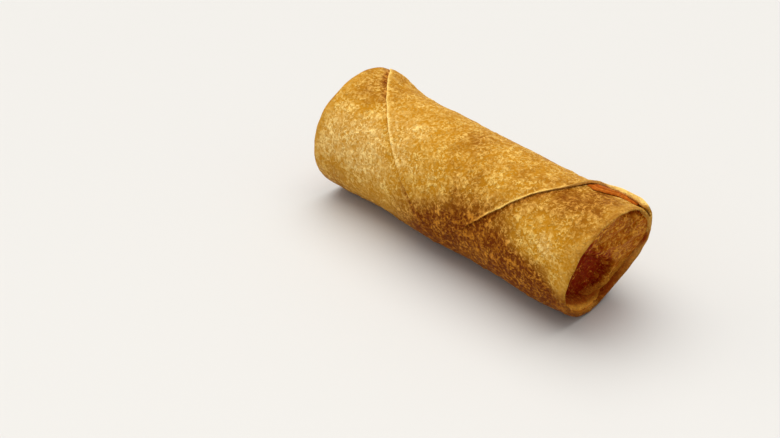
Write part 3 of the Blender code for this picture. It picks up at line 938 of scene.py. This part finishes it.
def fried_finish(name, ochre, pale, speckled):
    """Fried dough in two tones, each from golden to browned, where browned also takes in painted shade.
    The light tone shows where the skin blistered: curled marks along the middle lines of a noise, broken
    up by another, and specks, which are partly painted glints. Rims are more even, the folds inside an
    end are redder and darker, partly as painted shade, and fine bubbles cover it all."""
    finish = Finish(name)
    raised, edge, toasted_and_shaded, inside = finish.crust()
    calm = finish.attribute("calm", "Fac")
    cloud = finish.spots(6 * MM, detail=3.0, offset=3.1)
    grain = finish.spots(0.9 * MM, detail=3.0, roughness=0.6, offset=7.7)
    gate = finish.spots(3.2 * MM, detail=1.0, offset=8.4).limit(0.42, 0.58)
    cuts = finish.spots(1.4 * MM, detail=1.0, offset=6.1).limit(0.42, 0.56)
    large = finish.curls(2.0 * MM, 0.9, 5.2)
    small = finish.curls(1.3 * MM, 0.7, 2.3)
    curls = (large * gate + small * (1 - gate)) * cuts
    # Specks, partly painted glints, more of them deep in the folds
    specks_and_glints = finish.spots(1.0 * MM, detail=2.0, distortion=0.8, offset=1.7)
    specks_and_glints = (specks_and_glints + 0.10 * (cloud - 0.5)).limit(0.58, 0.70)
    dense = cloud.limit(0.34, 0.64)
    # Where the skin is least browned, including pale patches of painted light
    worn_and_lit = 1 - toasted_and_shaded.limit(0.0, 0.32)
    outer = 1 - 0.85 * inside
    marks = (0.60 * curls * outer + (0.60 + 0.35 * inside) * specks_and_glints) * (0.5 + 0.5 * dense)
    marks = marks + 0.30 * raised * outer + 0.9 * (grain - 0.5)
    marks = (marks * (1 - 0.65 * calm) + 0.15 * calm) * speckled * (1 + 0.3 * worn_and_lit) + 0.20 * worn_and_lit
    brown = (toasted_and_shaded + 0.38 * (0.5 - cloud)).limit(0.26, 1.05)
    dark = finish.mix(brown, ochre, colour("toasted_and_shaded"))
    light = finish.mix(brown, finish.mix(worn_and_lit, pale, colour("cream")), colour("toasted_light"))
    dark = finish.mix(inside, dark, colour("inside"))
    light = finish.mix(inside * 0.7, light, colour("inside_light"))
    # The edge share lightens the skin: pale edges, the painted highlight on the flap's edge and painted
    # bounce light on inner walls in shade
    base = finish.mix(marks + edge * 0.8, dark, light)
    bumps = curls * 0.45 + specks_and_glints * 0.9 + grain * 0.8
    normal = finish.node("ShaderNodeBump", {}, {"Strength": 0.8, "Distance": 0.35 * MM, "Height": bumps})
    rough = 0.42 + 0.20 * grain.limit(0.3, 0.7) + 0.10 * inside
    finish.set(base_color=base, roughness=rough, normal=normal, specular_ior_level=0.03,
               specular_tint=(1.0, 0.72, 0.34, 1.0))
    return finish.material


def wrapper_finish():
    """The golden outside of the roll."""
    known = bpy.data.materials.get("golden_crust")
    return known or fried_finish("golden_crust", colour("ochre"), colour("pale"), 1.0)


def tuck_finish():
    """The browner dough in the ends."""
    known = bpy.data.materials.get("tucked_crust")
    return known or fried_finish("tucked_crust", colour("tuck"), colour("tuck_light"), 0.9)


def fold_finish():
    """The translucent orange fold in the slit."""
    known = bpy.data.materials.get("orange_fold")
    return known or fried_finish("orange_fold", colour("fold"), colour("inside_light"), 0.7)


# Properties, operators and panel

class SpringRollSizes(bpy.types.PropertyGroup):
    near_end: FloatProperty(name="Near end", description="Where the near rim is highest along X",
                            default=63.4 * MM, unit="LENGTH")
    far_end: FloatProperty(name="Far end", description="Where the far rim is lowest along X",
                           default=-63.8 * MM, unit="LENGTH")
    radius: FloatProperty(name="Radius", description="Radius of the under layer", default=20.6 * MM,
                          min=5 * MM, unit="LENGTH")
    axis_height: FloatProperty(name="Axis height", description="Height of the roll's axis over the table",
                               default=20.6 * MM, min=0, unit="LENGTH")
    sheet: FloatProperty(name="Sheet", description="Thickness of one layer of dough", default=0.75 * MM,
                         min=0.1 * MM, unit="LENGTH")
    wall: FloatProperty(name="Wall", description="Thickness of the rolled wall at the ends",
                        default=2.2 * MM, min=0.5 * MM, unit="LENGTH")
    flare: FloatProperty(name="Flare", description="How far the far top corner stands out",
                         default=3.8 * MM, min=0, unit="LENGTH")
    flap_lift: FloatProperty(name="Flap lift", description="How far the flap's near corner stands off",
                             default=2.1 * MM, min=0, unit="LENGTH")
    blister: FloatProperty(name="Blisters", description="Height of the fried skin's blisters",
                           default=0.20 * MM, min=0, unit="LENGTH")
    columns: IntProperty(name="Columns", description="Facets round the roll", default=320, min=24)
    rings: IntProperty(name="Rings", description="Facets along the roll", default=268, min=12)
    flap_columns: IntProperty(name="Flap columns", description="Facets along the flap's edge",
                              default=350, min=24)
    flap_rows: IntProperty(name="Flap rows", description="Facets round the flap", default=140, min=12)
    tuck_columns: IntProperty(name="Tuck columns", description="Facets round a tuck", default=340, min=24)
    tuck_rings: IntProperty(name="Tuck rings", description="Facets across a tuck", default=130, min=12)


def colour_property(name, description, default):
    """A colour that a user may change."""
    return FloatVectorProperty(name=name, description=description, default=default, subtype="COLOR",
                               size=3, min=0, max=1)


class SpringRollColours(bpy.types.PropertyGroup):
    ochre: colour_property("Ochre", "The fried skin between its marks", (0.52, 0.222, 0.009))
    # The pale and cream marks also carry painted glints and pale patches of painted light
    pale: colour_property("Pale", "The marks and specks of the skin", (0.98, 0.665, 0.185))
    cream: colour_property("Cream", "The marks where the skin stayed pale", (1.0, 0.70, 0.25))
    # Toasted is also the colour of painted shade and shadow
    toasted_and_shaded: colour_property("Toasted", "Where the skin browned", (0.142, 0.024, 0.0004))
    toasted_light: colour_property("Toasted light", "Marks where it browned", (0.76, 0.29, 0.024))
    tuck: colour_property("Tuck", "The dough tucked into the ends", (0.40, 0.096, 0.001))
    tuck_light: colour_property("Tuck light", "Marks on the tucked dough", (1.0, 0.48, 0.058))
    # The inside colours are partly painted shade deep in an end; their light marks carry painted glints
    inside: colour_property("Inside", "Deep in the folds", (0.22, 0.010, 0.0003))
    inside_light: colour_property("Inside light", "Marks deep in the folds", (0.80, 0.22, 0.020))
    fold: colour_property("Fold", "The thin fold in the slit", (0.32, 0.060, 0.0015))
    table: colour_property("Table", "The pale floor", (0.66, 0.652, 0.632))


def roll():
    """The sizes that a user may change."""
    return bpy.context.scene.spring_roll_sizes


class SPRINGROLL_OT_rolled_skin(bpy.types.Operator):
    """Add the rolled skin with its two lips"""
    bl_idname = "spring_roll.rolled_skin"
    bl_label = "Rolled Skin"

    def execute(self, context):
        build_rolled_skin()
        return {"FINISHED"}


class SPRINGROLL_OT_flap(bpy.types.Operator):
    """Add the flap and the fold under its lifted corner"""
    bl_idname = "spring_roll.flap"
    bl_label = "Flap and Fold"

    def execute(self, context):
        build_flap()
        build_inner_fold()
        return {"FINISHED"}


class SPRINGROLL_OT_tucks(bpy.types.Operator):
    """Add the tucked dough in both ends"""
    bl_idname = "spring_roll.tucks"
    bl_label = "Tucked Ends"

    def execute(self, context):
        build_tuck("near_tuck", near_rim, -1, 1, near_floor, NEAR_SLOPE, NEAR_STEP_IN, 100)
        build_tuck("far_tuck", far_rim, 1, 0, far_floor, FAR_SLOPE, FAR_STEP_IN, 140)
        return {"FINISHED"}


def soft_sun(name, direction, spread, strength, warmth):
    """A broad soft light from this direction, as wide as this angle."""
    data = bpy.data.lights.new(name, "SUN")
    data.angle = np.radians(spread)
    data.energy = strength
    data.color = warmth
    lamp = bpy.data.objects.new(name, data)
    lamp.rotation_euler = Vector(direction).to_track_quat("Z", "Y").to_euler()
    bpy.context.scene.collection.objects.link(lamp)


class SPRINGROLL_OT_stage(bpy.types.Operator):
    """Add the pale floor, the soft lights and the camera"""
    bl_idname = "spring_roll.stage"
    bl_label = "Stage"

    def execute(self, context):
        scene = context.scene
        corners = [(FLOOR_REACH * x, FLOOR_REACH * y, 0) for x, y in ((-1, -1), (1, -1), (1, 1), (-1, 1))]
        mesh = bpy.data.meshes.new("floor")
        mesh.from_pydata(corners, [], [(0, 1, 2, 3)])
        floor = bpy.data.objects.new("floor", mesh)
        scene.collection.objects.link(floor)
        finish = Finish("pale_table")
        finish.set(base_color=colour("table"), roughness=0.55)
        mesh.materials.append(finish.material)
        for light in LIGHTS:
            soft_sun(*light)
        world = bpy.data.worlds.new("studio")
        world.use_nodes = True
        background = world.node_tree.nodes["Background"]
        background.inputs["Color"].default_value = (1.0, 1.0, 1.0, 1.0)
        background.inputs["Strength"].default_value = WORLD_STRENGTH
        scene.world = world
        data = bpy.data.cameras.new("camera")
        data.sensor_width = SENSOR_WIDTH
        data.lens = LENS
        data.clip_start, data.clip_end = CLIP
        camera = bpy.data.objects.new("camera", data)
        azimuth, elevation = np.radians((CAMERA_AZIMUTH, CAMERA_ELEVATION))
        level = np.cos(elevation)
        back = Vector((np.sin(azimuth) * level, -np.cos(azimuth) * level, np.sin(elevation)))
        camera.location = CAMERA_AT
        camera.rotation_euler = back.to_track_quat("Z", "Y").to_euler()
        scene.collection.objects.link(camera)
        scene.camera = camera
        scene.view_settings.view_transform = "Standard"
        scene.view_settings.look = "None"
        return {"FINISHED"}


class SPRINGROLL_PT_panel(bpy.types.Panel):
    bl_label = "Spring Roll"
    bl_idname = "SPRINGROLL_PT_panel"
    bl_space_type = "VIEW_3D"
    bl_region_type = "UI"
    bl_category = "Spring Roll"

    def draw(self, context):
        for operator in OPERATORS:
            self.layout.operator(operator.bl_idname)
        for group in (context.scene.spring_roll_sizes, context.scene.spring_roll_colours):
            box = self.layout.box()
            for name in group.__annotations__:
                box.prop(group, name)


OPERATORS = (SPRINGROLL_OT_rolled_skin, SPRINGROLL_OT_flap, SPRINGROLL_OT_tucks, SPRINGROLL_OT_stage)
CLASSES = (SpringRollSizes, SpringRollColours) + OPERATORS + (SPRINGROLL_PT_panel,)


def register():
    for made in CLASSES:
        bpy.utils.register_class(made)
    bpy.types.Scene.spring_roll_sizes = PointerProperty(type=SpringRollSizes)
    bpy.types.Scene.spring_roll_colours = PointerProperty(type=SpringRollColours)


def unregister():
    del bpy.types.Scene.spring_roll_colours
    del bpy.types.Scene.spring_roll_sizes
    for made in reversed(CLASSES):
        bpy.utils.unregister_class(made)


def main():
    register()
    bpy.ops.spring_roll.rolled_skin()
    bpy.ops.spring_roll.flap()
    bpy.ops.spring_roll.tucks()
    bpy.ops.spring_roll.stage()


if __name__ == "__main__":
    main()
